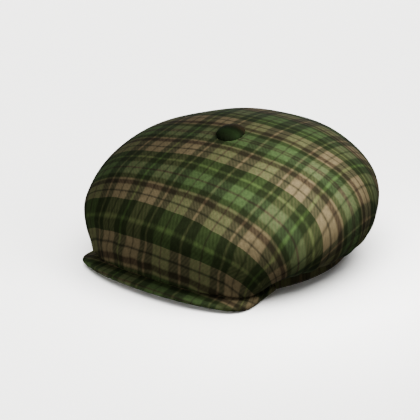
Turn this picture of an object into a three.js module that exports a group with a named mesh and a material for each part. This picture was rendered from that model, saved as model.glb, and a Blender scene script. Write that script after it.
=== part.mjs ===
// Flat cap in tartan wool: a hollow cloth crown that folds under at its sides and back, a low band
// round the head opening, a short stiff peak under the crown's front edge and a covered button.
// Millimetres, +Z up, the front towards -Y, resting on Z = 0.
import * as THREE from "three";
import { LoftGeometry } from "three/addons/geometries/LoftGeometry.js";

const CLOTH = 2; // thickness of the crown's cloth
const GAP = 0.3; // clearance between neighbouring pieces

// Band round the head opening, an oval behind the crown's middle
const BAND_HALF_WIDTH = 85;
const BAND_HALF_LENGTH = 104;
const BAND_SET_BACK = 8;
const BAND_HEIGHT = 14;
const BAND_THICKNESS = 2.5;

// Peak, a stiff crescent that arches up in the middle; its rounded rim runs back to both temples
const PEAK_THICKNESS = 4.5;
const PEAK_CLEARANCE = 0.4;
const PEAK_ARCH = 8; // rise of the middle at the band
const PEAK_RIM_LIFT = 4; // rise of the middle at the rim
const PEAK_SPREAD = 60; // degrees from the front to each end, along the band
// One half of the rim from the middle to the end: distance across, and reach from the crown's middle
const PEAK_ROWS = [
  { across: 0, reach: 119.5 },
  { across: 40, reach: 116 },
  { across: 65.5, reach: 108 },
  { across: 79, reach: 99.5 },
  { across: 84.5, reach: 87.5 },
  { across: 81.5, reach: 62 },
  { across: 79.5, reach: 46 },
];

// Crown: the dome's height over its middle, and its rise per millimetre towards the back
const CROWN_HEIGHT = 105.5;
const CROWN_RISE = 0.24;
// One side of the crown from front to back: the angle from the front in degrees, the fold's reach
// from the middle, the fold's height, and the dome's fullness (2 is an ellipse, more is boxier)
const CROWN_ROWS = [
  { angle: 0, reach: 113.5, foldHeight: 47, fullness: 2.3 },
  { angle: 18, reach: 118.5, foldHeight: 46, fullness: 2.3 },
  { angle: 36, reach: 123.5, foldHeight: 43.5, fullness: 2.3 },
  { angle: 60, reach: 122.5, foldHeight: 41, fullness: 2.35 },
  { angle: 90, reach: 120, foldHeight: 51, fullness: 2.25 },
  { angle: 135, reach: 119, foldHeight: 51.5, fullness: 1.88 },
  { angle: 180, reach: 126.5, foldHeight: 42.5, fullness: 1.72 },
];
// Below the fold the cloth draws in, to the peak at the front and to the band past the temples; over
// the peak its lowest part sweeps out again
const HEM_MIDDLE = 105.5; // reach of the drawn-in cloth at the front
const HEM_CORNER = 112; // and over the peak's corners
const HEM_CORNER_AT = 36; // degrees from the front
const FRONT_DRAW = 1.5; // how soon the cloth turns in below the fold (1 is a quarter ellipse)
const SIDE_DRAW = 0.85;
const SWEEP = 5;
const SWEEP_HEIGHT = 14; // above the hem
const SWEEP_SEAT = 1.6; // lift of the hem that keeps the sloping cloth's underside off the peak
const SWEEP_START = 40; // degrees from the front
const SWEEP_END = 60;
const TUCK_START = 38;
const TUCK_END = 66;
const HEM_LIFT_START = 44;
const HEM_LIFT_END = 62;

// Button on the crown's middle
const BUTTON_RADIUS = 12;
const BUTTON_HEIGHT = 7;
const BUTTON_EDGE = 2;
const BUTTON_FORWARD = 4.5;

// Facets
const STEPS_AROUND = 72;
const DOME_POINTS = 24;
const DOME_STEPS = 20;
const TUCK_STEPS = 8;
const PEAK_STATIONS = 44;
const PEAK_STEPS = 5;
const RIM_STEPS = 4;
const BUTTON_STEPS = 5;

const { clamp, degToRad, inverseLerp, lerp, radToDeg, smoothstep } = THREE.MathUtils;

const peakReach = PEAK_ROWS[0].reach;
const peakHalfWidth = Math.max(...PEAK_ROWS.map((row) => row.across));
const bandFront = BAND_HALF_LENGTH - BAND_SET_BACK;
const crownBack = CROWN_ROWS.at(-1).reach;

// Smooth curve through one of the crown table's columns, level at the front and at the back.
function crownColumn(name) {
  const angles = CROWN_ROWS.map((row) => row.angle);
  const values = CROWN_ROWS.map((row) => row[name]);
  const curve = new THREE.CubicInterpolant(angles, values, 1);
  curve.settings = { endingStart: THREE.ZeroSlopeEnding, endingEnd: THREE.ZeroSlopeEnding };
  return (degrees) => curve.evaluate(degrees)[0];
}

const reachAt = crownColumn("reach");
const foldHeightAt = crownColumn("foldHeight");
const fullnessAt = crownColumn("fullness");

function degreesFromFront(angle) {
  return radToDeg(Math.acos(Math.cos(angle)));
}

// Distance from the crown's middle to the band's outer face, in a direction given by its angle.
function bandReach(angle) {
  const x = Math.sin(angle);
  const y = -Math.cos(angle);
  const a = (x / BAND_HALF_WIDTH) ** 2 + (y / BAND_HALF_LENGTH) ** 2;
  const b = (-y * BAND_SET_BACK) / BAND_HALF_LENGTH ** 2;
  const c = (BAND_SET_BACK / BAND_HALF_LENGTH) ** 2 - 1;
  return (-b + Math.sqrt(b * b - a * c)) / a;
}

// Height of the peak's underside over a point in plan: an arch that flattens towards the rim.
function peakFloor(x, y) {
  const arch = Math.max(1 - (x / peakHalfWidth) ** 2, 0);
  const out = clamp(inverseLerp(bandFront, peakReach, -y), 0, 1);
  return PEAK_CLEARANCE + arch * lerp(PEAK_ARCH, PEAK_RIM_LIFT, out);
}

// Height of the crown's dome in one direction, at a distance out from its middle.
function domeHeight(angle, out) {
  const degrees = degreesFromFront(angle);
  const foldHeight = foldHeightAt(degrees);
  const fullness = fullnessAt(degrees);
  const rise = CROWN_HEIGHT - CROWN_RISE * Math.cos(angle) * out - foldHeight;
  const left = Math.max(1 - (out / reachAt(degrees)) ** fullness, 0);
  return foldHeight + rise * left ** (1 / fullness);
}

// Crown profile at one angle as points (reach, height): over the dome to the fold, then in to the hem,
// with the lowest part swept out over the peak.
function crownProfile(angle) {
  const degrees = degreesFromFront(angle);
  const reach = reachAt(degrees);
  const foldHeight = foldHeightAt(degrees);
  const dome = [];
  for (let i = 0; i <= DOME_POINTS; i++) {
    const turn = ((i / DOME_POINTS) * Math.PI) / 2;
    const out = reach * Math.sin(turn) ** (2 / fullnessAt(degrees));
    dome.push(new THREE.Vector2(out, domeHeight(angle, out)));
  }
  const bandMiddle = bandReach(angle) - BAND_THICKNESS / 2;
  const drawIn = smoothstep(degrees, TUCK_START, TUCK_END);
  const lift = smoothstep(degrees, HEM_LIFT_START, HEM_LIFT_END);
  const frontReach = lerp(HEM_MIDDLE, HEM_CORNER, smoothstep(degrees, 0, HEM_CORNER_AT));
  const tuckReach = lerp(frontReach, bandMiddle, drawIn);
  const front = 1 - smoothstep(degrees, SWEEP_START, SWEEP_END);
  const hemReach = tuckReach + SWEEP * front;
  const peakTop = PEAK_THICKNESS + peakFloor(hemReach * Math.sin(angle), -hemReach * Math.cos(angle));
  const hemHeight = GAP + SWEEP_SEAT * front + lerp(peakTop, BAND_HEIGHT, lift);
  const draw = lerp(FRONT_DRAW, SIDE_DRAW, drawIn);
  const tuck = [];
  for (let i = 1; i <= TUCK_STEPS; i++) {
    const turn = ((i / TUCK_STEPS) * Math.PI) / 2;
    const out = lerp(tuckReach, reach, Math.cos(turn) ** draw);
    tuck.push(new THREE.Vector2(out, lerp(foldHeight, hemHeight, Math.sin(turn))));
  }
  const points = [...new THREE.SplineCurve(dome).getSpacedPoints(DOME_STEPS), ...tuck];
  return points.map((point) => {
    const low = clamp(1 - (point.y - hemHeight) / SWEEP_HEIGHT, 0, 1);
    return new THREE.Vector2(point.x + SWEEP * front * low ** 2, point.y);
  });
}

// Rings of points round the crown's outer face, from its middle out and down to the hem.
function crownRings() {
  const rings = Array.from({ length: DOME_STEPS + TUCK_STEPS + 1 }, () => []);
  for (let i = 0; i < STEPS_AROUND; i++) {
    const angle = (-i / STEPS_AROUND) * 2 * Math.PI;
    crownProfile(angle).forEach((point, row) => {
      rings[row].push(new THREE.Vector3(point.x * Math.sin(angle), -point.x * Math.cos(angle), point.y));
    });
  }
  return rings;
}

// The same rings moved in by the cloth's thickness, square to the surface.
function insideRings(rings) {
  const lastRow = rings.length - 1;
  const middle = new THREE.Vector3(0, CROWN_RISE, -1).setLength(CLOTH).add(rings[0][0]);
  return rings.map((ring, row) => {
    if (row === 0) return ring.map(() => middle.clone());
    return ring.map((point, i) => {
      const before = rings[row - 1][i];
      const after = rings[Math.min(row + 1, lastRow)][i];
      const left = ring.at(i - 1);
      const right = ring[(i + 1) % STEPS_AROUND];
      const along = new THREE.Vector3().subVectors(after, before);
      const around = new THREE.Vector3().subVectors(right, left);
      return along.cross(around).setLength(CLOTH).add(point);
    });
  });
}

function crownGeometry() {
  const outside = crownRings();
  return new LoftGeometry([...outside, ...insideRings(outside).reverse()]);
}

function bandGeometry() {
  const shape = new THREE.Shape();
  shape.absellipse(0, BAND_SET_BACK, BAND_HALF_WIDTH, BAND_HALF_LENGTH, 0, 2 * Math.PI);
  const opening = new THREE.Path();
  const halfWidth = BAND_HALF_WIDTH - BAND_THICKNESS;
  const halfLength = BAND_HALF_LENGTH - BAND_THICKNESS;
  opening.absellipse(0, BAND_SET_BACK, halfWidth, halfLength, 0, 2 * Math.PI);
  shape.holes.push(opening);
  return new THREE.ExtrudeGeometry(shape, {
    depth: BAND_HEIGHT,
    bevelEnabled: false,
    curveSegments: STEPS_AROUND,
  });
}

// The peak's rim in plan, evenly spaced from the wearer's left end to the right one.
function peakRim() {
  const half = PEAK_ROWS.map((row) => new THREE.Vector3(row.across, -row.reach, 0));
  const mirrored = half.slice(1).map((point) => point.clone().setX(-point.x));
  const rim = new THREE.CatmullRomCurve3([...half.reverse(), ...mirrored]);
  return rim.getSpacedPoints(PEAK_STATIONS);
}

// One section of the peak, from the band out along the underside, round the rim and back on top.
function peakSection(rim, bandAngle) {
  const inner = bandReach(bandAngle) + GAP;
  const start = new THREE.Vector3(inner * Math.sin(bandAngle), -inner * Math.cos(bandAngle), 0);
  const half = PEAK_THICKNESS / 2;
  const outward = new THREE.Vector3().subVectors(rim, start).normalize();
  const edgeCentre = rim.clone().addScaledVector(outward, -half);
  const edgeFloor = peakFloor(edgeCentre.x, edgeCentre.y);
  const underside = [];
  const top = [];
  for (let i = 0; i < PEAK_STEPS; i++) {
    const point = start.clone().lerp(edgeCentre, i / PEAK_STEPS);
    point.z = peakFloor(point.x, point.y);
    underside.push(point);
    top.unshift(point.clone().setZ(point.z + PEAK_THICKNESS));
  }
  const edge = [];
  for (let i = 0; i <= RIM_STEPS; i++) {
    const bend = Math.PI * (i / RIM_STEPS - 0.5);
    const point = edgeCentre.clone().addScaledVector(outward, half * Math.cos(bend));
    edge.push(point.setZ(edgeFloor + half * (1 + Math.sin(bend))));
  }
  return [...underside, ...edge, ...top];
}

function peakGeometry() {
  const end = degToRad(PEAK_SPREAD);
  const sections = peakRim().map((rim, i) => peakSection(rim, lerp(end, -end, i / PEAK_STATIONS)));
  return new LoftGeometry(sections, { capStart: true, capEnd: true });
}

function buttonGeometry() {
  const outline = new THREE.Path();
  outline.moveTo(0, 0);
  outline.lineTo(BUTTON_RADIUS - BUTTON_EDGE, 0);
  outline.quadraticCurveTo(BUTTON_RADIUS, 0, BUTTON_RADIUS, BUTTON_EDGE);
  outline.absellipse(0, BUTTON_EDGE, BUTTON_RADIUS, BUTTON_HEIGHT - BUTTON_EDGE, 0, Math.PI / 2);
  return new THREE.LatheGeometry(outline.getPoints(BUTTON_STEPS), STEPS_AROUND / 2);
}

function piece(name, geometry, colour, roughness) {
  const material = new THREE.MeshStandardMaterial({ color: colour, roughness, metalness: 0 });
  const mesh = new THREE.Mesh(geometry, material);
  mesh.name = name;
  return mesh;
}

const button = piece("button", buttonGeometry(), 0x23281c, 0.9);
button.position.set(0, -BUTTON_FORWARD, domeHeight(0, BUTTON_FORWARD) + GAP);
button.rotation.x = Math.PI / 2 + Math.atan(CROWN_RISE);

const cap = new THREE.Group();
cap.add(
  piece("crown", crownGeometry(), 0x5c6240, 0.95),
  piece("band", bandGeometry(), 0x4c4a33, 0.95),
  piece("peak", peakGeometry(), 0x55553a, 0.9),
  button,
);
cap.position.y = (peakReach - crownBack) / 2;

export default cap;
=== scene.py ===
"""Tartan flat cap: the cloth crown, band, peak and covered button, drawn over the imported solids."""

import math

import bpy
import numpy as np
from bpy.props import FloatProperty, FloatVectorProperty, PointerProperty
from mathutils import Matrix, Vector


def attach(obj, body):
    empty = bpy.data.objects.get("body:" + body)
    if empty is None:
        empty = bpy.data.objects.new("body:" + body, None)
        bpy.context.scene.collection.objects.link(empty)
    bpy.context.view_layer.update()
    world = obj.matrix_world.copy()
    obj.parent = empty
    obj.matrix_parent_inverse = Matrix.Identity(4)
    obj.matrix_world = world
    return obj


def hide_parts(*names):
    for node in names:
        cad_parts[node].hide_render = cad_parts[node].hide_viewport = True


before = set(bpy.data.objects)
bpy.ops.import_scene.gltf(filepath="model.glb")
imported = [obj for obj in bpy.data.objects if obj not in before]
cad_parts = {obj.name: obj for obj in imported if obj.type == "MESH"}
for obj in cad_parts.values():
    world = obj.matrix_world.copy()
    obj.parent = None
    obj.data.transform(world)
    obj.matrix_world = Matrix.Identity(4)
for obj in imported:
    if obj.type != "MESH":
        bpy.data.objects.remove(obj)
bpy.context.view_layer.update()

bl_info = {
    "name": "Tartan Flat Cap",
    "version": (1, 0, 0),
    "blender": (4, 5, 0),
    "location": "3D View > Sidebar > Flat Cap",
    "description": "Cloth crown, band, peak and covered button of a tartan flat cap",
    "category": "Add Mesh",
}

MM = 0.001
WHOLE_TURN = 2 * math.pi
QUARTER_TURN = math.pi / 2
CLOTH_MAP = "cloth"

# The crown's middle lies a little in front of the frame's origin
MIDDLE_Y = -3.5 * MM

# Crown table from front to back: angle from the front in degrees, the fold's reach and height in
# millimetres, and the dome's fullness (2 is an ellipse, more is boxier)
CROWN_ANGLE, CROWN_REACH, CROWN_FOLD, CROWN_FULLNESS = range(4)
CROWN_ROWS = np.array([
    (0, 113.5, 47, 2.3),
    (18, 118.5, 46, 2.3),
    (36, 123.5, 43.5, 2.3),
    (60, 122.5, 41, 2.35),
    (90, 120, 51, 2.25),
    (135, 119, 51.5, 1.88),
    (180, 126.5, 42.5, 1.72),
])

# Half of the peak's rim from the middle to the temple: across, and out from the crown's middle
PEAK_ROWS = np.array([
    (0, 119.5),
    (40, 116),
    (65.5, 108),
    (79, 99.5),
    (84.5, 87.5),
    (81.5, 62),
    (79.5, 46),
]) * MM

# Seats between the pieces, as the solids have them
GAP = 0.3 * MM
BAND_HALF_WIDTH = 85 * MM
BAND_HALF_LENGTH = 104 * MM
BAND_SET_BACK = 8 * MM
PEAK_CLEARANCE = 0.4 * MM
PEAK_ARCH = 8 * MM
PEAK_RIM_LIFT = 4 * MM
PEAK_SPREAD = math.radians(60)

# The crown's hem: how far out it ends over the peak, and the flare that lays it on the peak there.
# FROM and TO are angles from the front in degrees, between which one form goes over into the next
HEM_MIDDLE = 105.5 * MM
HEM_CORNER = 112 * MM
HEM_CORNER_AT = 36
HEM_LIFT_FROM, HEM_LIFT_TO = 44, 62
HEM_ROUNDING = 4 * MM
SWEEP = 5 * MM
SWEEP_HEIGHT = 14 * MM
SWEEP_SEAT = 1.6 * MM
SWEEP_FROM, SWEEP_TO = 40, 60

# The tuck under the fold: powers of its way in at the front and at the sides, and of its rows' crowding
TUCK_FROM, TUCK_TO = 38, 66
FRONT_DRAW, SIDE_DRAW = 1.5, 0.85
TUCK_CROWDING = 1.5

# Broad soft dents of the crown: height, waves round and their phase, waves down and their phase
BROAD_WAVES = (
    (1.0, 2, 0.7, 8.2, 0.3),
    (0.7, 3, -1.1, 13.2, 2.0),
    (0.5, 5, 2.3, 19.5, 0.9),
)

# Small folds: how many go round, how far their phase sways, and the sways in a round. Those of the tuck
# also change in height
FRONT_FOLDS, FRONT_FOLD_SWAY, FRONT_FOLD_SWAYS, FRONT_FOLD_PHASE = 27, 1.4, 5, 0.6
TUCK_FOLDS, TUCK_FOLD_SWAY, TUCK_FOLD_SWAYS = 38, 1.7, 6
TUCK_FOLD_MEAN, TUCK_FOLD_CHANGE, TUCK_FOLD_CHANGES, TUCK_FOLD_PHASE = 0.7, 0.3, 4, 1
BUTTON_FOLDS, BUTTON_FOLD_SWAY, BUTTON_FOLD_SWAYS = 15, 0.8, 4

# Where they lie. FROM and TO are cosines of the angle from the front on the crown, and shares of the
# radius on the button. Heights are measured up from the hem, and from the button's widest line
FRONT_FOLD_HEIGHT = 9 * MM
FRONT_FOLDS_FROM, FRONT_FOLDS_TO = 0.6, 0.85
TUCK_FOLDS_FROM, TUCK_FOLDS_TO = 0.62, 0.3
BUTTON_FOLD_HEIGHT = 1.8 * MM
BUTTON_FOLDS_FROM, BUTTON_FOLDS_TO = 0.5, 0.9

# The sett in millimetres and yarns. The warp is charted from one pivot to the other and is mirrored at
# both; the weft is charted once round and repeats
WARP_CHART = (
    (0.9, "line_green"), (6.8, "warp_dark"),
    (7.2, "warp_tan"), (1.3, "fine_dark"), (7.4, "warp_tan"),
    (6.1, "warp_dark"), (1.6, "line_tan"), (8.1, "warp_dark"),
    (8.9, "warp_green"), (1.4, "fine_dark"), (9.1, "warp_green"),
    (10.1, "warp_dark"), (1.0, "line_tan"),
)
WEFT_CHART = (
    (6.3, "tan"), (1.2, "fine_dark"), (6.3, "tan"),
    (4.9, "brown"), (1.5, "line_tan"), (5.0, "dark_green"),
    (6.3, "green"), (1.2, "fine_dark"), (6.3, "green"),
    (5.7, "dark_green"), (1.5, "line_green"), (6.8, "dark_green"),
)
WARP_PIVOT = -35.5 * MM
WEFT_START = -40.4 * MM
STRIPE_BORDER = 1.7 * MM

# How the sett lies on the crown. Along is from its middle to the front, across to the wearer's left. A
# pace is how far the sett runs for a length of the form, so that a higher one makes narrower stripes.
# The front comes in between two cosines of the angle from it
FRONT_PACE, FRONT_SLACK = 1.65, 9 * MM
FRONT_FROM, FRONT_TO = 0.35, 0.95
TOP_SLOWING, TOP_SLOWING_FROM = 0.1, 33 * MM
BACK_PACE = 0.6
BACK_NARROWING, BACK_NARROWING_FROM = 1.3, 35 * MM
BACK_QUICKENING, BACK_QUICKENING_FROM, BACK_QUICKENING_OVER = 2.0, 33 * MM, 95 * MM
LOW_FROM, LOW_TO = 60 * MM, 110 * MM
LOWEST_FROM, LOWEST_TO = 125 * MM, 160 * MM
LOW_NARROWING, LOW_SHIFT, LOWEST_SHIFT = 0.13, 9 * MM, 6 * MM
LOW_SLOWING, LOW_SLOWING_FROM = 0.55, 93 * MM
TILT, TILT_FROM, TILT_OVER, TILT_MOST = 0.086, 87 * MM, 107 * MM, 1.2

# The weft turns round at two places along the cloth, under the button and low on the front
TOP_PIVOT, FRONT_PIVOT = 7 * MM, 100.6 * MM

# The wool's surface: grain of its uneven dye, how far and over what length its threads wander, its nap as
# a share of the twill's repeat, and the ridges' drawn height as a share of their half width
HEATHER_GRAIN = 3.2 * MM
WANDER, WANDER_LENGTH = 1.2 * MM, 18 * MM
NAP = 0.35
RELIEF = 0.12

# How dark and light the heather dyes, and between which of the noise's values
HEATHER_FROM, HEATHER_TO = 0.25, 0.75
HEATHER_DARK, HEATHER_LIGHT = 0.8, 1.2

# Shares of the warp's colour between the wales and on them, and the borders as shares of the repeat
WARP_BETWEEN, WARP_ON_TOP = 0.37, 0.51
WALE_FROM, WALE_TO = 0.1, 0.4

# Wool fibre has an IOR of about 1.5, but the milled nap scatters nearly all of its gloss
WOOL_FINISH = {"Roughness": 0.95, "Specular IOR Level": 0.03, "IOR": 1.5}

# How far the sett is moved on the band, and how light the band and the peak are beside the crown. The peak's
# cloth is painted lighter, as painted light on the part that the crown's overhang shades
BAND_SHIFT = (0, 12 * MM)
BAND_SHADE, PEAK_PAINTED_LIGHT = 0.85, 1.25

# The stripes of the button's cover: from where to where they go, back from its middle, and their blur
COVER_FRONT, COVER_BACK, COVER_BLUR = -9 * MM, 15 * MM, 6 * MM

# The floor and the view, in metres and degrees; an azimuth goes from the front to the wearer's left
FLOOR_HALF = 4.0
FLOOR_DROP = 0.2 * MM
FLOOR_LIGHT_SPREAD = math.radians(80)
VIEW_MIDDLE = Vector((-12.23, -19.92, 38.9)) * MM
VIEW_AZIMUTH, VIEW_ELEVATION = 39.57, 20.9
VIEW_DISTANCE = 1.408
VIEW_ANGLE = math.radians(14)
SENSOR_WIDTH = 36

# Lamps: name, diameter, distance, azimuth and elevation
LAMPS = (
    ("key", 0.15, 0.22, 80, 42),
    ("fill", 1.2, 2.5, 4, 14),
    ("back", 1.2, 2.5, 215, 14),
)


def linear(code):
    """An sRGB hex colour as linear red, green and blue, by the curve of the sRGB standard."""
    srgb = np.array([int(code[i:i + 2], 16) for i in (1, 3, 5)]) / 255
    return tuple(np.where(srgb <= 0.04045, srgb / 12.92, ((srgb + 0.055) / 1.055) ** 2.4).tolist())


def length(name, description, default):
    """A size in metres."""
    return FloatProperty(
        name=name, description=description, default=default, min=0, subtype="DISTANCE", unit="LENGTH",
    )


def power(name, description, default):
    """A lamp's power in watts."""
    return FloatProperty(name=name, description=description, default=default, min=0, unit="POWER")


def plain(name, description, default):
    """A number without a unit."""
    return FloatProperty(name=name, description=description, default=default)


def colour(name, description, code):
    """A colour, from its sRGB hex code."""
    return FloatVectorProperty(
        name=name, description=description, default=linear(code), min=0, max=1, size=3, subtype="COLOR",
    )


class CrownSettings(bpy.types.PropertyGroup):
    cloth: length("Cloth", "Thickness of the crown's cloth", 2 * MM)
    height: length("Height", "Height of the crown's middle", 105.5 * MM)
    rise: plain("Rise", "Rise of the crown towards the back, per unit of length", 0.24)
    ease: FloatProperty(
        name="Ease", description="Share of the slope's length that the pattern follows at the sides",
        default=0.3, min=0, max=1, subtype="FACTOR",
    )
    unevenness: length("Unevenness", "Depth of the cloth's broad soft dents", 0.8 * MM)
    front_gathers: length("Front gathers", "Depth of the small folds above the peak", 0.7 * MM)
    tuck_gathers: length("Tuck gathers", "Depth of the small folds under the sides and back", 0.9 * MM)


class BandSettings(bpy.types.PropertyGroup):
    height: length("Height", "Height of the band", 14 * MM)
    thickness: length("Thickness", "Thickness of the band", 2.5 * MM)
    edge: length("Edge", "Rounding of the band's edges", 1 * MM)


class PeakSettings(bpy.types.PropertyGroup):
    thickness: length("Thickness", "Thickness of the peak", 4.5 * MM)


class ButtonSettings(bpy.types.PropertyGroup):
    radius: length("Radius", "Radius of the button", 12 * MM)
    height: length("Height", "Height of the button", 7 * MM)
    edge: length("Edge", "Height of the button's widest line", 2 * MM)
    forward: length("Forward", "Distance of the button in front of the crown's middle", 4.5 * MM)
    gathers: length("Gathers", "Depth of the cover's small folds", 0.25 * MM)
    sink: length("Sink", "How far the button is drawn down into the crown's cloth", 0.9 * MM)


class YarnSettings(bpy.types.PropertyGroup):
    tan: colour("Tan", "Broad tan weft stripes", "#5D523B")
    green: colour("Green", "Broad green weft stripes", "#364829")
    dark_green: colour("Dark green", "Weft grounds beside the green lines", "#1C2511")
    brown: colour("Brown", "Weft grounds beside the tan lines", "#261E15")
    warp_tan: colour("Warp tan", "Broad tan warp stripes", "#594F39")
    warp_green: colour("Warp green", "Broad green warp stripes", "#3F4C2B")
    warp_dark: colour("Warp dark", "Warp grounds", "#1B1E12")
    line_tan: colour("Tan line", "Thin light tan lines", "#554C35")
    line_green: colour("Green line", "Thin light green lines", "#3C4D26")
    fine_dark: colour("Dark line", "Fine dark lines through the broad stripes", "#28251A")
    cover: colour("Button cover", "Ground of the cloth over the button", "#0E1308")
    cover_stripe: colour("Button stripe", "Green stripe across the front of the button", "#16220F")
    cover_back: colour("Button back", "Brown stripe across the back of the button", "#221C10")
    twill: length("Twill repeat", "Four threads of the twill weave", 3.6 * MM)


class StageSettings(bpy.types.PropertyGroup):
    floor: colour("Floor", "Colour of the floor", "#F2F1EE")
    key: power("Key light", "Power of the soft lamp beside the cap", 0.86)
    fill: power("Fill light", "Power of the wide soft lamp in front of the cap", 28)
    back: power("Back light", "Power of the wide soft lamp behind the cap", 30)
    sky: plain("Sky", "Strength of the even light all round", 0.31)
    floor_light: plain("Floor light", "Strength of the light on the floor alone", 12)


class FlatCapSettings(bpy.types.PropertyGroup):
    crown: PointerProperty(type=CrownSettings, name="Crown", description="Sizes of the crown")
    band: PointerProperty(type=BandSettings, name="Band", description="Sizes of the band")
    peak: PointerProperty(type=PeakSettings, name="Peak", description="Sizes of the peak")
    button: PointerProperty(type=ButtonSettings, name="Button", description="Sizes of the button")
    yarn: PointerProperty(type=YarnSettings, name="Yarn", description="Colours and weave of the cloth")
    stage: PointerProperty(type=StageSettings, name="Stage", description="Floor and lights")


def smoothstep(x, start, end):
    """0 before start, 1 past end, and between them three squares less two cubes of the share passed."""
    share = np.clip((x - start) / (end - start), 0, 1)
    return share * share * (3 - 2 * share)


def mix(a, b, share):
    """a and b in proportion: a at share 0, b at share 1."""
    return a + (b - a) * share


def cubic_through(x, at, value, slope):
    """A curve through values at given places, read at x: between two places a cubic that has their values
    and slopes, summed from the four Hermite polynomials of the share t of the step."""
    i = np.clip(np.searchsorted(at, x, side="right") - 1, 0, len(at) - 2)
    step = at[i + 1] - at[i]
    t = (x - at[i]) / step
    return (
        (2 * t**3 - 3 * t**2 + 1) * value[i] + (t**3 - 2 * t**2 + t) * step * slope[i]
        + (3 * t**2 - 2 * t**3) * value[i + 1] + (t**3 - t**2) * step * slope[i + 1]
    )


def swaying_folds(angle, count, sway, sways, phase=0):
    """Small folds round the cap, from -1 to 1: a cosine whose phase sways by a slower sine, so that no two
    folds beside each other are alike."""
    return np.cos(count * angle + sway * np.sin(sways * angle + phase))


def crown_column(degrees, column):
    """A column of the crown table at angles from the front: a cubic from row to row whose slope at a row
    is the mean of the two straight slopes beside it, and level at the front and at the back."""
    at, value = CROWN_ROWS[:, CROWN_ANGLE], CROWN_ROWS[:, column]
    straight = np.diff(value) / np.diff(at)
    slope = np.concatenate([[0], (straight[1:] + straight[:-1]) / 2, [0]])
    return cubic_through(degrees, at, value, slope)


def band_reach(angle):
    """Distance from the crown's middle to the band's outer oval: the positive root of the quadratic that
    puts the point at that distance on the ellipse."""
    x, y = np.sin(angle), -np.cos(angle)
    a = (x / BAND_HALF_WIDTH) ** 2 + (y / BAND_HALF_LENGTH) ** 2
    b = -y * BAND_SET_BACK / BAND_HALF_LENGTH**2
    c = (BAND_SET_BACK / BAND_HALF_LENGTH) ** 2 - 1
    return (-b + np.sqrt(b * b - a * c)) / a


def peak_floor(x, y):
    """Height of the peak's underside: a parabola across, whose rise falls evenly from band to rim."""
    arch = np.clip(1 - (x / PEAK_ROWS[:, 0].max()) ** 2, 0, None)
    band_front = BAND_HALF_LENGTH - BAND_SET_BACK
    out = np.clip((-y - band_front) / (PEAK_ROWS[0, 1] - band_front), 0, 1)
    return PEAK_CLEARANCE + arch * mix(PEAK_ARCH, PEAK_RIM_LIFT, out)


def along_rows(points):
    """Distance from the first row to each row, summed down every column of a grid of points."""
    steps = np.linalg.norm(np.diff(points, axis=0), axis=-1)
    return np.concatenate([np.zeros_like(steps[:1]), np.cumsum(steps, axis=0)])


def unit_normals(points):
    """Unit normals of a grid that is closed round its columns: the cross product of the steps along the
    columns and along the rows."""
    down = np.gradient(points, axis=0)
    around = np.roll(points, -1, axis=1) - np.roll(points, 1, axis=1)
    normal = np.cross(down, around)
    return normal / np.linalg.norm(normal, axis=-1, keepdims=True)


def closed_mesh(name, points, cloth, poles=None):
    """A closed mesh from a grid of points. Columns run round and close. With poles, a point and its place
    on the cloth at each end, the end rows close on them; without, the last row joins the first. cloth has
    one column more than points, so that the pattern may end where the columns close, and goes on evenly
    for one row more where the rows do. The faces are turned so that the volume they enclose, a sixth of
    the sum of their corners' triple products, is positive."""
    rows, columns = points.shape[:2]
    joined_rows = np.arange(rows if poles is None else rows - 1)
    row, column = np.meshgrid(joined_rows, np.arange(columns), indexing="ij")
    corner_rows = np.stack([row, row + 1, row + 1, row], -1).reshape(-1, 4)
    corner_columns = np.stack([column, column, column + 1, column + 1], -1).reshape(-1, 4)
    quads = corner_rows % rows * columns + corner_columns % columns
    unrolled = np.concatenate([cloth, cloth[-1:] + (cloth[-1:] - cloth[-2:-1])])
    quad_cloth = unrolled[corner_rows, corner_columns]
    vertices = points.reshape(-1, 3)
    triangles = np.zeros((0, 3), int)
    triangle_cloth = np.zeros((0, 3, 2))
    if poles is not None:
        ring = np.arange(columns)
        next_ring = (ring + 1) % columns
        last = (rows - 1) * columns
        first_pole, last_pole = rows * columns, rows * columns + 1
        triangles = np.concatenate([
            np.stack([np.full(columns, first_pole), ring, next_ring], -1),
            np.stack([np.full(columns, last_pole), last + next_ring, last + ring], -1),
        ])
        spread = [np.broadcast_to(np.asarray(pole[1]), (columns, 2)) for pole in poles]
        triangle_cloth = np.concatenate([
            np.stack([spread[0], cloth[0, :-1], cloth[0, 1:]], 1),
            np.stack([spread[1], cloth[-1, 1:], cloth[-1, :-1]], 1),
        ])
        vertices = np.concatenate([vertices, [pole[0] for pole in poles]])
    halves = np.concatenate([quads[:, [0, 1, 2]], quads[:, [0, 2, 3]], triangles])
    a, b, c = (vertices[halves[:, i]] for i in range(3))
    if np.einsum("ij,ij->i", a, np.cross(b, c)).sum() < 0:
        quads, triangles = quads[:, ::-1], triangles[:, ::-1]
        quad_cloth, triangle_cloth = quad_cloth[:, ::-1], triangle_cloth[:, ::-1]
    mesh = bpy.data.meshes.new(name)
    mesh.from_pydata(vertices.tolist(), [], quads.tolist() + triangles.tolist())
    layer = mesh.uv_layers.new(name=CLOTH_MAP)
    corners = np.concatenate([quad_cloth.reshape(-1, 2), triangle_cloth.reshape(-1, 2)])
    layer.uv.foreach_set("vector", corners.astype(np.float32).ravel())
    mesh.polygons.foreach_set("use_smooth", np.ones(len(mesh.polygons), bool))
    if mesh.validate():
        raise RuntimeError(f"{name} has faces that can't be used")
    return mesh


def put(name, data):
    """Puts new data in the scene as an object at the origin."""
    made = bpy.data.objects.new(name, data)
    bpy.context.scene.collection.objects.link(made)
    return made


def add_piece(name, mesh, material):
    """Puts a finished mesh in the scene in place of the solid of the same name."""
    piece = put(f"cap_{name}", mesh)
    mesh.materials.append(material)
    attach(piece, "root")
    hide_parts(name)


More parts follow.
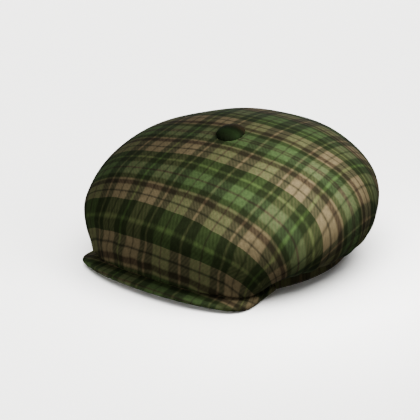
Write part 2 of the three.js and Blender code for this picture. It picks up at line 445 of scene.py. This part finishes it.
def crown_outside(angle, settings):
    """The crown's outer face as a grid of points from the middle to the hem, with each point's way out in
    plan, at most to the fold, its way down the cloth, and the way down to the fold. The dome is a
    superellipse of the table's fullness from the middle to the fold, drawn by the angle from its axis.
    The tuck is a quarter ellipse from the fold in to the hem, its way in raised to a power. Over the
    peak the wall flares out towards the hem, by the square of how near it is."""
    degrees = np.degrees(np.arccos(np.clip(np.cos(angle), -1, 1)))
    reach = crown_column(degrees, CROWN_REACH) * MM
    fold = crown_column(degrees, CROWN_FOLD) * MM
    fullness = crown_column(degrees, CROWN_FULLNESS)
    sine, cosine = np.sin(angle), np.cos(angle)

    dome_rows, tuck_rows = 108, 56
    lean = (np.arange(1, dome_rows + 1) / dome_rows * QUARTER_TURN)[:, None]
    size = (np.sin(lean) ** fullness + np.cos(lean) ** fullness) ** (-1 / fullness)
    dome_out = reach * np.sin(lean) * size
    top = settings.crown.height - settings.crown.rise * cosine * dome_out
    dome_high = fold + (top - fold) * np.cos(lean) * size

    draw_in = smoothstep(degrees, TUCK_FROM, TUCK_TO)
    front_out = mix(HEM_MIDDLE, HEM_CORNER, smoothstep(degrees, 0, HEM_CORNER_AT))
    tuck_end = mix(front_out, band_reach(angle) - settings.band.thickness / 2, draw_in)
    sweep = 1 - smoothstep(degrees, SWEEP_FROM, SWEEP_TO)
    hem_out = tuck_end + SWEEP * sweep
    peak_top = settings.peak.thickness + peak_floor(hem_out * sine, -hem_out * cosine)
    lift = smoothstep(degrees, HEM_LIFT_FROM, HEM_LIFT_TO)
    hem_high = GAP + SWEEP_SEAT * sweep + mix(peak_top, settings.band.height, lift)
    share = np.arange(1, tuck_rows + 1) / tuck_rows
    turn = ((1 - (1 - share) ** TUCK_CROWDING) * QUARTER_TURN)[:, None]
    share_out = np.clip(np.cos(turn), 0, 1) ** mix(FRONT_DRAW, SIDE_DRAW, draw_in)
    tuck_out = mix(tuck_end, reach, share_out)
    tuck_high = mix(fold, hem_high, np.sin(turn))

    out = np.concatenate([dome_out, tuck_out])
    high = np.concatenate([dome_high, tuck_high])
    out = out + SWEEP * sweep * np.clip(1 - (high - hem_high) / SWEEP_HEIGHT, 0, 1) ** 2
    points = np.stack([out * sine, MIDDLE_Y - out * cosine, high], -1)
    middle = np.broadcast_to([0, MIDDLE_Y, settings.crown.height], points[:1].shape)
    run = along_rows(np.concatenate([middle, points]))[1:]
    plan = np.concatenate([dome_out, np.broadcast_to(reach, tuck_out.shape)])
    return points, plan, run, run[dome_rows - 1]


def crown_cloth(angle, plan, run, fold_run, ease):
    """Places of the crown's points on the cloth, across and along. They start from the way out in plan, to
    which the front, the sides and the back each add a part of the length that the slope and the tuck have
    beyond it. The later steps move a point by how far it lies past a line on the cloth."""
    sine, cosine = np.sin(angle), np.cos(angle)
    slope = np.minimum(run, fold_run) - plan
    below = np.maximum(run - fold_run, 0)
    extra = slope + below

    # Down the front the sett runs at its own pace, once the slack is taken up by an exponential
    front = FRONT_PACE * (extra - FRONT_SLACK + FRONT_SLACK * np.exp(-extra / FRONT_SLACK))
    front = front - TOP_SLOWING * np.clip(plan - TOP_SLOWING_FROM, 0, None)
    back = np.where(cosine < 0, (BACK_PACE * slope + below) * cosine * cosine, 0)
    along = plan * cosine + front * smoothstep(cosine, FRONT_FROM, FRONT_TO) - back

    # The warp stripes grow narrower towards the back, and low on the front, where they also shift
    across = plan * sine + (ease * slope + below) * sine * np.abs(sine)
    across = across * (1 + BACK_NARROWING * np.clip(BACK_NARROWING_FROM - plan * cosine, 0, None))
    low = smoothstep(along, LOW_FROM, LOW_TO)
    lowest = smoothstep(along, LOWEST_FROM, LOWEST_TO)
    across = across * (1 + LOW_NARROWING * low * (1 - lowest)) - LOW_SHIFT * low + LOWEST_SHIFT * lowest

    # The weft stripes lie askew on top, grow narrower towards the back and broader low on the front
    tilt = TILT * np.clip((TILT_FROM - along) / TILT_OVER, 0, TILT_MOST)
    behind = np.clip(BACK_QUICKENING_FROM - along, 0, BACK_QUICKENING_OVER)
    along = along + tilt * across - BACK_QUICKENING * behind**2
    along = along - LOW_SLOWING * np.clip(along - LOW_SLOWING_FROM, 0, None)

    # What lies past a pivot is mirrored at it
    along = along - 2 * np.clip(along - FRONT_PIVOT, 0, None)
    along = along + 2 * np.clip(TOP_PIVOT - along, 0, None)
    return np.stack([across, -along], -1)


def crown_softness(angle, run, fold_run, settings):
    """How far the cloth stands out from its smooth form: broad waves that fade at the middle and the hem,
    small folds above the peak that fade upwards, and small folds along the tuck that fade at both its
    edges and are higher in some places than in others."""
    whole = run[-1]
    share = run / whole
    broad = sum(
        height * np.sin(round_waves * angle + round_phase) * np.sin(down_waves * share + down_phase)
        for height, round_waves, round_phase, down_waves, down_phase in BROAD_WAVES
    ) * np.sin(math.pi * share)
    up = (whole - run) / FRONT_FOLD_HEIGHT
    front = smoothstep(np.cos(angle), FRONT_FOLDS_FROM, FRONT_FOLDS_TO) * up * np.exp(1 - up)
    front_folds = swaying_folds(
        angle, FRONT_FOLDS, FRONT_FOLD_SWAY, FRONT_FOLD_SWAYS, FRONT_FOLD_PHASE,
    )
    below = np.clip((run - fold_run) / (whole - fold_run), 0, 1)
    tuck = smoothstep(np.cos(angle), TUCK_FOLDS_FROM, TUCK_FOLDS_TO) * np.sin(math.pi * below) ** 2
    uneven = TUCK_FOLD_MEAN + TUCK_FOLD_CHANGE * np.sin(TUCK_FOLD_CHANGES * angle + TUCK_FOLD_PHASE)
    tuck_folds = swaying_folds(angle, TUCK_FOLDS, TUCK_FOLD_SWAY, TUCK_FOLD_SWAYS) * uneven
    return (
        settings.crown.unevenness * broad
        + settings.crown.front_gathers * front * front_folds
        + settings.crown.tuck_gathers * tuck * tuck_folds
    )


def crown_mesh(settings):
    """The crown's wall: the outer face with its soft dents, and the same face moved in by the cloth's
    thickness; along the hem the outer face comes down to the inner one on a quarter ellipse."""
    columns = 300
    angle = np.arange(columns) / columns * WHOLE_TURN
    points, plan, run, fold_run = crown_outside(angle, settings)
    cloth = crown_cloth(angle, plan, run, fold_run, settings.crown.ease)
    outward = unit_normals(points)
    points = points + outward * crown_softness(angle, run, fold_run, settings)[..., None]
    inside = points - outward * settings.crown.cloth
    from_hem = np.clip((run[-1] - run) / HEM_ROUNDING, 0, 1)
    wall = settings.crown.cloth * np.sqrt(1 - (1 - from_hem) ** 2)[..., None]
    grid = np.concatenate([inside + outward * wall, inside[-2::-1]])
    cloth = np.concatenate([cloth, cloth[:, :1]], axis=1)
    cloth = np.concatenate([cloth, cloth[-2::-1]])
    top = np.array([0, MIDDLE_Y, settings.crown.height])
    inward = np.array([0, settings.crown.rise, -1])
    under = top + inward / np.linalg.norm(inward) * settings.crown.cloth
    return closed_mesh("cap_crown", grid, cloth, [(top, (0, 0)), (under, (0, 0))])


def band_mesh(settings):
    """The band: a rounded upright strip carried round the oval. Its section is a rectangle whose corners
    are quarter circles; its place on the cloth is the length round the oval and round the section."""
    columns, corner_steps = 320, 8
    around = np.arange(columns + 1) / columns * WHOLE_TURN
    thick, high, edge = settings.band.thickness, settings.band.height, settings.band.edge
    bend = np.linspace(0, QUARTER_TURN, corner_steps)
    quarter = np.stack([np.cos(bend), np.sin(bend)], -1) * edge
    to_next_corner = np.array([[0, 1], [-1, 0]])
    centres = ((-edge, high - edge), (edge - thick, high - edge), (edge - thick, edge), (-edge, edge))
    section = np.concatenate([
        quarter @ np.linalg.matrix_power(to_next_corner, corner) + centre
        for corner, centre in enumerate(centres)
    ])
    half_width = BAND_HALF_WIDTH + section[:, :1]
    half_length = BAND_HALF_LENGTH + section[:, :1]
    ring = np.stack([
        half_width * np.sin(around),
        MIDDLE_Y + BAND_SET_BACK + half_length * np.cos(around),
        np.repeat(section[:, 1:], columns + 1, axis=1),
    ], -1)
    cloth = np.stack(np.broadcast_arrays(along_rows(ring[0]), along_rows(section)[:, None]), -1)
    return closed_mesh("cap_band", ring[:, :-1], cloth)


def peak_rim(stations):
    """The peak's rim in plan from the wearer's left temple to the right one: a smooth curve through the
    mirrored table whose slope at a row joins the two rows beside it, at even steps of its length. Its
    parameter is the sum of the square roots of the distances from row to row."""
    fine_steps = 2000
    half = PEAK_ROWS * (1, -1)
    rows = np.concatenate([half[::-1], half[1:] * (-1, 1)])
    at = np.concatenate([[0], np.cumsum(np.sqrt(np.linalg.norm(np.diff(rows, axis=0), axis=1)))])
    slope = np.gradient(rows, at, axis=0)
    t = np.linspace(0, at[-1], fine_steps)
    curve = np.stack([cubic_through(t, at, rows[:, k], slope[:, k]) for k in (0, 1)], -1)
    run = along_rows(curve)
    even = np.linspace(0, run[-1], stations)
    return np.stack([np.interp(even, run, curve[:, k]) for k in (0, 1)], -1)


def peak_mesh(settings):
    """The peak: a flat section with a half-round rim, carried from one temple to the other. Each section
    runs straight in plan from the band to the rim, over the arched floor. Its cloth goes on from the
    crown's at the hem, by the way past the hem along the top, round the rim and back below."""
    stations, flat_steps, rim_steps = 181, 28, 14
    rim = peak_rim(stations)
    angle = np.linspace(PEAK_SPREAD, -PEAK_SPREAD, stations)
    inner = band_reach(angle) + GAP
    start = np.stack([inner * np.sin(angle), -inner * np.cos(angle)], -1)
    half = settings.peak.thickness / 2
    outward = (rim - start) / np.linalg.norm(rim - start, axis=1, keepdims=True)
    centre = rim - outward * half
    share = (np.arange(flat_steps) / flat_steps)[None, :, None]
    flat = start[:, None] + (centre - start)[:, None] * share
    floor = peak_floor(flat[..., 0], flat[..., 1])
    bend = np.linspace(QUARTER_TURN, -QUARTER_TURN, rim_steps)
    edge = centre[:, None] + outward[:, None] * (half * np.cos(bend))[None, :, None]
    edge_high = peak_floor(centre[:, 0], centre[:, 1])[:, None] + half * (1 + np.sin(bend))
    plan = np.concatenate([flat, edge, flat[:, ::-1]], axis=1)
    high = np.concatenate([floor + 2 * half, edge_high, floor[:, ::-1]], axis=1)
    points = np.concatenate([plan + (0, MIDDLE_Y), high[..., None]], axis=-1)

    closed = np.concatenate([points, points[:, :1]], axis=1)
    run = along_rows(np.swapaxes(closed, 0, 1)).T
    beyond = np.repeat(centre[:, None], run.shape[1] - flat_steps, axis=1)
    base = np.concatenate([flat, beyond], axis=1)
    at = np.arctan2(base[..., 0], -base[..., 1])
    past = np.hypot(base[..., 0], base[..., 1])
    past[:, flat_steps:] += run[:, flat_steps:] - run[:, flat_steps:flat_steps + 1]

    # The hem's cloth is read on either side of the front, to an angle in radians past the peak's ends
    hem_spread, hem_steps = 1.4, 561
    around = np.linspace(-hem_spread, hem_spread, hem_steps)
    crown, *lengths = crown_outside(around, settings)
    hem_cloth = crown_cloth(around, *lengths, settings.crown.ease)[-1]
    hem_out = np.hypot(crown[-1, :, 0], crown[-1, :, 1] - MIDDLE_Y)
    past = past - np.interp(at, around, hem_out)
    cloth = np.stack([
        np.interp(at, around, hem_cloth[:, 0]) + past * np.sin(at),
        np.interp(at, around, hem_cloth[:, 1]) + past * np.cos(at),
    ], -1)
    ends = [(points[k].mean(axis=0), cloth[k].mean(axis=0)) for k in (0, -1)]
    return closed_mesh("cap_peak", points, cloth, ends)


def button_mesh(settings):
    """The covered button: a profile turned about its axis, a quarter ellipse over a rounded lower edge,
    with shallow folds that are deepest where the cover turns under. Its axis leans as the crown does."""
    size = settings.button
    columns, top_rows, edge_rows, floor_rows = 96, 22, 12, 6
    top_turn = np.arange(1, top_rows + 1) / top_rows * QUARTER_TURN
    edge_turn = np.arange(1, edge_rows + 1) / edge_rows * QUARTER_TURN
    out = np.concatenate([
        size.radius * np.sin(top_turn),
        size.radius - size.edge + size.edge * np.cos(edge_turn),
        np.linspace(size.radius - size.edge, 0, floor_rows + 2)[1:-1],
    ])
    high = np.concatenate([
        size.edge + (size.height - size.edge) * np.cos(top_turn),
        size.edge * (1 - np.sin(edge_turn)),
        np.zeros(floor_rows),
    ])
    around = np.arange(columns) / columns * WHOLE_TURN
    near_edge = np.exp(-(((high - size.edge) / BUTTON_FOLD_HEIGHT) ** 2))
    depth = near_edge * smoothstep(out, BUTTON_FOLDS_FROM * size.radius, BUTTON_FOLDS_TO * size.radius)
    folds = swaying_folds(around, BUTTON_FOLDS, BUTTON_FOLD_SWAY, BUTTON_FOLD_SWAYS)
    dent = size.gathers * depth[:, None]
    turned = out[:, None] + dent * folds - dent
    x, y = turned * np.cos(around), turned * np.sin(around)
    rise = settings.crown.rise
    stretch = math.hypot(1, rise)
    across = np.array([1, 0, 0])
    back = np.array([0, 1, rise]) / stretch
    axis = np.array([0, -rise, 1]) / stretch
    seat_high = settings.crown.height - rise * size.forward - size.sink
    seat = np.array([0, MIDDLE_Y - size.forward, seat_high])
    points = seat + x[..., None] * across + y[..., None] * back + high[:, None, None] * axis
    cloth = np.stack([x, y], -1)
    cloth = np.concatenate([cloth, cloth[:, :1]], axis=1)
    ends = [(seat + axis * size.height, (0, 0)), (seat, (0, 0))]
    return closed_mesh("cap_button", points, cloth, ends)


def add_node(tree, kind, inputs=(), stops=(), **settings):
    """Adds a node: settings are its own values, inputs its sockets' values or the sockets linked to them,
    and stops the places and colours of a ramp."""
    made = tree.nodes.new(kind)
    for name, value in settings.items():
        setattr(made, name, value)
    for name, value in dict(inputs).items():
        if isinstance(value, bpy.types.NodeSocket):
            tree.links.new(value, made.inputs[name])
        else:
            made.inputs[name].default_value = value
    for i, (place, shade) in enumerate(stops):
        stop = made.color_ramp.elements[i] if i < 2 else made.color_ramp.elements.new(place)
        stop.position = place
        stop.color = (*shade, 1)
    return made


def empty_tree(owner):
    """The node tree of a new material or world, with its first nodes taken out."""
    owner.use_nodes = True
    owner.node_tree.nodes.clear()
    return owner.node_tree


def chart_length(chart):
    """The sum of a chart's stripe widths, in metres."""
    return sum(row[0] for row in chart) * MM


def sett_stops(chart, yarn):
    """A ramp's stops for a chart of stripe widths: every border is a short slope from yarn to yarn."""
    widths = np.array([row[0] for row in chart]) * MM
    edges = np.concatenate([[0], np.cumsum(widths)]) / widths.sum()
    slope = STRIPE_BORDER / widths.sum() / 2
    stops = []
    for (_, name), low, high in zip(chart, edges[:-1], edges[1:]):
        shade = tuple(getattr(yarn, name))
        stops += [(low + (slope if low > 0 else 0), shade), (high - (slope if high < 1 else 0), shade)]
    return stops


def twill_surface(tree, place, axes, repeat, half_wale, strength):
    """What the tartan and the button's cloth share: the heather, which is uneven dye from thread to thread,
    the twill's wales, which are ridges along one diagonal, and the normal that they and the nap give. The
    threads are drawn at the coarse end for tweed, so that the twill shows at this size."""
    heather = add_node(
        tree, "ShaderNodeTexNoise",
        {"Vector": place, "Scale": 1 / HEATHER_GRAIN, "Detail": 3, "Roughness": 0.65},
        noise_dimensions="2D",
    ).outputs["Fac"]
    diagonal = add_node(
        tree, "ShaderNodeMath", {0: axes.outputs["X"], 1: axes.outputs["Y"]}, operation="ADD",
    )
    wale = add_node(
        tree, "ShaderNodeMath", {0: diagonal.outputs[0], 1: half_wale}, operation="PINGPONG",
    ).outputs[0]
    nap = add_node(
        tree, "ShaderNodeMath", {0: heather, 1: repeat * NAP, 2: wale}, operation="MULTIPLY_ADD",
    )
    relief = add_node(
        tree, "ShaderNodeBump", {"Height": nap.outputs[0], "Strength": strength, "Distance": RELIEF},
    )
    return heather, wale, relief.outputs[0]


def woven_tartan_wool(name, yarn, shift=(0, 0), shade=1.0):
    """Milled wool twill woven in a tartan sett: warp and weft stripes show through each other, thread by
    thread on the diagonal, and a soft nap breaks up the gloss, so that the cloth looks quite matt."""
    material = bpy.data.materials.new(name)
    tree = empty_tree(material)
    place = add_node(tree, "ShaderNodeUVMap", uv_map=CLOTH_MAP).outputs["UV"]
    moved = add_node(tree, "ShaderNodeMapping", {"Vector": place, "Location": (*shift, 0)}).outputs[0]

    # Threads never lie quite straight: the sett's grid wanders by a few tenths of a millimetre
    noise = add_node(
        tree, "ShaderNodeTexNoise",
        {"Vector": moved, "Scale": 1 / WANDER_LENGTH, "Detail": 1},
        noise_dimensions="2D",
    )
    sway = add_node(
        tree, "ShaderNodeVectorMath",
        {0: noise.outputs["Color"], 1: (0.5, 0.5, 0.5)},
        operation="SUBTRACT",
    )
    grid = add_node(
        tree, "ShaderNodeVectorMath",
        {0: sway.outputs[0], 1: (WANDER, WANDER, 0), 2: moved},
        operation="MULTIPLY_ADD",
    )
    axes = add_node(tree, "ShaderNodeSeparateXYZ", {0: grid.outputs[0]})
    heather, wale, normal = twill_surface(
        tree, moved, axes, repeat=yarn.twill, half_wale=yarn.twill / 2, strength=0.35,
    )

    # The warp is folded to and fro at its pivots, and the weft is counted off in whole setts
    half_sett, sett = chart_length(WARP_CHART), chart_length(WEFT_CHART)
    from_pivot = add_node(
        tree, "ShaderNodeMath", {0: axes.outputs["X"], 1: WARP_PIVOT}, operation="SUBTRACT",
    )
    folded = add_node(
        tree, "ShaderNodeMath", {0: from_pivot.outputs[0], 1: half_sett}, operation="PINGPONG",
    )
    warp_at = add_node(
        tree, "ShaderNodeMath", {0: folded.outputs[0], 1: half_sett}, operation="DIVIDE",
    )
    from_start = add_node(
        tree, "ShaderNodeMath", {0: axes.outputs["Y"], 1: WEFT_START}, operation="SUBTRACT",
    )
    counted = add_node(
        tree, "ShaderNodeMath", {0: from_start.outputs[0], 1: sett}, operation="DIVIDE",
    )
    weft_at = add_node(tree, "ShaderNodeMath", {0: counted.outputs[0]}, operation="FRACT")
    warp = add_node(tree, "ShaderNodeValToRGB", {0: warp_at.outputs[0]}, sett_stops(WARP_CHART, yarn))
    weft = add_node(tree, "ShaderNodeValToRGB", {0: weft_at.outputs[0]}, sett_stops(WEFT_CHART, yarn))

    # Two over, two under: the warp shows more on the wales than between them. Each colour is raised to its
    # share and the two are multiplied, so that a dark yarn tells more than in an even mix
    warp_share = add_node(
        tree, "ShaderNodeMapRange",
        {
            "Value": wale,
            "From Min": yarn.twill * WALE_FROM,
            "From Max": yarn.twill * WALE_TO,
            "To Min": WARP_BETWEEN,
            "To Max": WARP_ON_TOP,
        },
        interpolation_type="SMOOTHSTEP",
    ).outputs["Result"]
    weft_share = add_node(tree, "ShaderNodeMath", {0: 1.0, 1: warp_share}, operation="SUBTRACT").outputs[0]
    warp_part = add_node(tree, "ShaderNodeGamma", {"Color": warp.outputs["Color"], "Gamma": warp_share})
    weft_part = add_node(tree, "ShaderNodeGamma", {"Color": weft.outputs["Color"], "Gamma": weft_share})
    woven = add_node(
        tree, "ShaderNodeVectorMath",
        {0: warp_part.outputs[0], 1: weft_part.outputs[0]},
        operation="MULTIPLY",
    )
    dye = add_node(
        tree, "ShaderNodeMapRange",
        {
            "Value": heather,
            "From Min": HEATHER_FROM,
            "From Max": HEATHER_TO,
            "To Min": HEATHER_DARK * shade,
            "To Max": HEATHER_LIGHT * shade,
        },
    )
    dyed = add_node(
        tree, "ShaderNodeVectorMath",
        {0: woven.outputs[0], 1: dye.outputs["Result"]},
        operation="MULTIPLY",
    )
    shader = add_node(
        tree, "ShaderNodeBsdfPrincipled",
        {
            **WOOL_FINISH,
            "Base Color": dyed.outputs[0],
            "Normal": normal,
            "Sheen Weight": 0.005,
            "Sheen Roughness": 0.45,
            "Sheen Tint": (*linear("#E9E6DA"), 1),
        },
    )
    add_node(tree, "ShaderNodeOutputMaterial", {"Surface": shader.outputs[0]})
    return material


def milled_button_cloth(name, yarn):
    """Dark wool drawn tight over the button's mould: a finer twill, almost black and just as matt, with a
    blurred green stripe across the front and a brown one across the back."""
    material = bpy.data.materials.new(name)
    tree = empty_tree(material)
    place = add_node(tree, "ShaderNodeUVMap", uv_map=CLOTH_MAP).outputs["UV"]
    axes = add_node(tree, "ShaderNodeSeparateXYZ", {0: place})
    heather, _, normal = twill_surface(
        tree, place, axes, repeat=yarn.twill, half_wale=yarn.twill / 4, strength=0.3,
    )

    # From front to back over the button, its borders blurred by the heather
    blurred = add_node(
        tree, "ShaderNodeMath",
        {0: heather, 1: COVER_BLUR, 2: axes.outputs["Y"]},
        operation="MULTIPLY_ADD",
    )
    backward = add_node(
        tree, "ShaderNodeMapRange",
        {"Value": blurred.outputs[0], "From Min": COVER_FRONT, "From Max": COVER_BACK},
    )
    dye = add_node(
        tree, "ShaderNodeValToRGB", {0: backward.outputs["Result"]},
        [(0.05, yarn.cover), (0.35, yarn.cover_stripe), (0.55, yarn.cover), (0.75, yarn.cover_back)],
    )
    shader = add_node(
        tree, "ShaderNodeBsdfPrincipled",
        {**WOOL_FINISH, "Base Color": dye.outputs["Color"], "Normal": normal},
    )
    add_node(tree, "ShaderNodeOutputMaterial", {"Surface": shader.outputs[0]})
    return material


def direction(azimuth, elevation):
    """Unit direction from the cap: azimuth from the front towards the wearer's left, in degrees."""
    a, e = math.radians(azimuth), math.radians(elevation)
    return Vector((math.sin(a) * math.cos(e), -math.cos(a) * math.cos(e), math.sin(e)))


def aim(thing, towards, distance):
    """Sets a lamp or the camera in that direction from the view's middle and turns it to look back."""
    thing.location = VIEW_MIDDLE + towards * distance
    thing.rotation_euler = towards.to_track_quat("Z", "Y").to_euler()


def add_floor(settings):
    """A flat square of matt paper just under the cap, without gloss. It gives no light back to the cap."""
    corners = ((-1, -1), (1, -1), (1, 1), (-1, 1))
    mesh = bpy.data.meshes.new("floor")
    mesh.from_pydata([(FLOOR_HALF * x, FLOOR_HALF * y, -FLOOR_DROP) for x, y in corners], [], [(0, 1, 2, 3)])
    floor = put("floor", mesh)
    paper = bpy.data.materials.new("matt_paper_floor")
    tree = empty_tree(paper)
    shader = add_node(
        tree, "ShaderNodeBsdfPrincipled",
        {"Base Color": (*settings.floor, 1), "Roughness": 0.95, "Specular IOR Level": 0.1},
    )
    add_node(tree, "ShaderNodeOutputMaterial", {"Surface": shader.outputs[0]})
    mesh.materials.append(paper)
    floor.visible_diffuse = False
    floor.visible_glossy = False
    return floor


def add_sky(settings):
    """Even white light from all round."""
    world = bpy.data.worlds.new("studio")
    tree = empty_tree(world)
    sky = add_node(tree, "ShaderNodeBackground", {"Color": (1, 1, 1, 1), "Strength": settings.sky})
    add_node(tree, "ShaderNodeOutputWorld", {"Surface": sky.outputs[0]})
    bpy.context.scene.world = world


def add_lamps(settings, floor):
    """The soft lamps round the cap, and a broad sun that lights the floor alone, almost to white."""
    for name, diameter, distance, azimuth, elevation in LAMPS:
        lamp = bpy.data.lights.new(name, "AREA")
        lamp.energy = getattr(settings, name)
        lamp.shape = "DISK"
        lamp.size = diameter
        light = put(name, lamp)
        aim(light, direction(azimuth, elevation), distance)
        light.visible_camera = False
    sun = bpy.data.lights.new("floor_light", "SUN")
    sun.energy = settings.floor_light
    sun.angle = FLOOR_LIGHT_SPREAD
    lit = bpy.data.collections.new("floor_only")
    lit.objects.link(floor)
    put("floor_light", sun).light_linking.receiver_collection = lit


def add_camera():
    """The camera at the photo's angle."""
    camera = bpy.data.cameras.new("camera")
    camera.sensor_width = SENSOR_WIDTH
    camera.lens = SENSOR_WIDTH / 2 / math.tan(VIEW_ANGLE / 2)
    eye = put("camera", camera)
    aim(eye, direction(VIEW_AZIMUTH, VIEW_ELEVATION), VIEW_DISTANCE)
    bpy.context.scene.camera = eye


class MakeCrown(bpy.types.Operator):
    """Make the cloth crown"""

    bl_idname = "flatcap.make_crown"
    bl_label = "Make Crown"

    def execute(self, context):
        settings = context.scene.flat_cap
        material = woven_tartan_wool("woven_tartan_wool", settings.yarn)
        add_piece("crown", crown_mesh(settings), material)
        return {"FINISHED"}


class MakeBand(bpy.types.Operator):
    """Make the band round the head opening"""

    bl_idname = "flatcap.make_band"
    bl_label = "Make Band"

    def execute(self, context):
        settings = context.scene.flat_cap
        material = woven_tartan_wool("woven_tartan_band", settings.yarn, BAND_SHIFT, BAND_SHADE)
        add_piece("band", band_mesh(settings), material)
        return {"FINISHED"}


class MakePeak(bpy.types.Operator):
    """Make the stiff peak"""

    bl_idname = "flatcap.make_peak"
    bl_label = "Make Peak"

    def execute(self, context):
        settings = context.scene.flat_cap
        # The peak's cloth is painted lighter: painted light in place of the light that the crown's overhang
        # keeps off it
        material = woven_tartan_wool("woven_tartan_peak", settings.yarn, shade=PEAK_PAINTED_LIGHT)
        add_piece("peak", peak_mesh(settings), material)
        return {"FINISHED"}


class MakeButton(bpy.types.Operator):
    """Make the covered button"""

    bl_idname = "flatcap.make_button"
    bl_label = "Make Button"

    def execute(self, context):
        settings = context.scene.flat_cap
        material = milled_button_cloth("milled_button_cloth", settings.yarn)
        add_piece("button", button_mesh(settings), material)
        return {"FINISHED"}


class SetStage(bpy.types.Operator):
    """Set the floor, the lights and the camera"""

    bl_idname = "flatcap.set_stage"
    bl_label = "Set Stage"

    def execute(self, context):
        settings = context.scene.flat_cap.stage
        floor = add_floor(settings)
        add_sky(settings)
        add_lamps(settings, floor)
        add_camera()
        return {"FINISHED"}


class FlatCapPanel(bpy.types.Panel):
    bl_label = "Flat Cap"
    bl_idname = "VIEW3D_PT_flat_cap"
    bl_space_type = "VIEW_3D"
    bl_region_type = "UI"
    bl_category = "Flat Cap"

    def draw(self, context):
        settings = context.scene.flat_cap
        for maker in OPERATORS:
            self.layout.operator(maker.bl_idname)
        for group in ("crown", "band", "peak", "button", "yarn", "stage"):
            box = self.layout.box()
            box.label(text=group.capitalize())
            part = getattr(settings, group)
            for name in part.__annotations__:
                box.prop(part, name)


OPERATORS = (MakeCrown, MakeBand, MakePeak, MakeButton, SetStage)
CLASSES = (
    CrownSettings, BandSettings, PeakSettings, ButtonSettings, YarnSettings, StageSettings,
    FlatCapSettings, *OPERATORS, FlatCapPanel,
)


def register():
    for cls in CLASSES:
        bpy.utils.register_class(cls)
    bpy.types.Scene.flat_cap = PointerProperty(
        type=FlatCapSettings, name="Flat cap", description="Tartan flat cap",
    )


def unregister():
    del bpy.types.Scene.flat_cap
    for cls in reversed(CLASSES):
        bpy.utils.unregister_class(cls)


def main():
    register()
    bpy.ops.flatcap.make_crown()
    bpy.ops.flatcap.make_band()
    bpy.ops.flatcap.make_peak()
    bpy.ops.flatcap.make_button()
    bpy.ops.flatcap.set_stage()


if __name__ == "__main__":
    main()
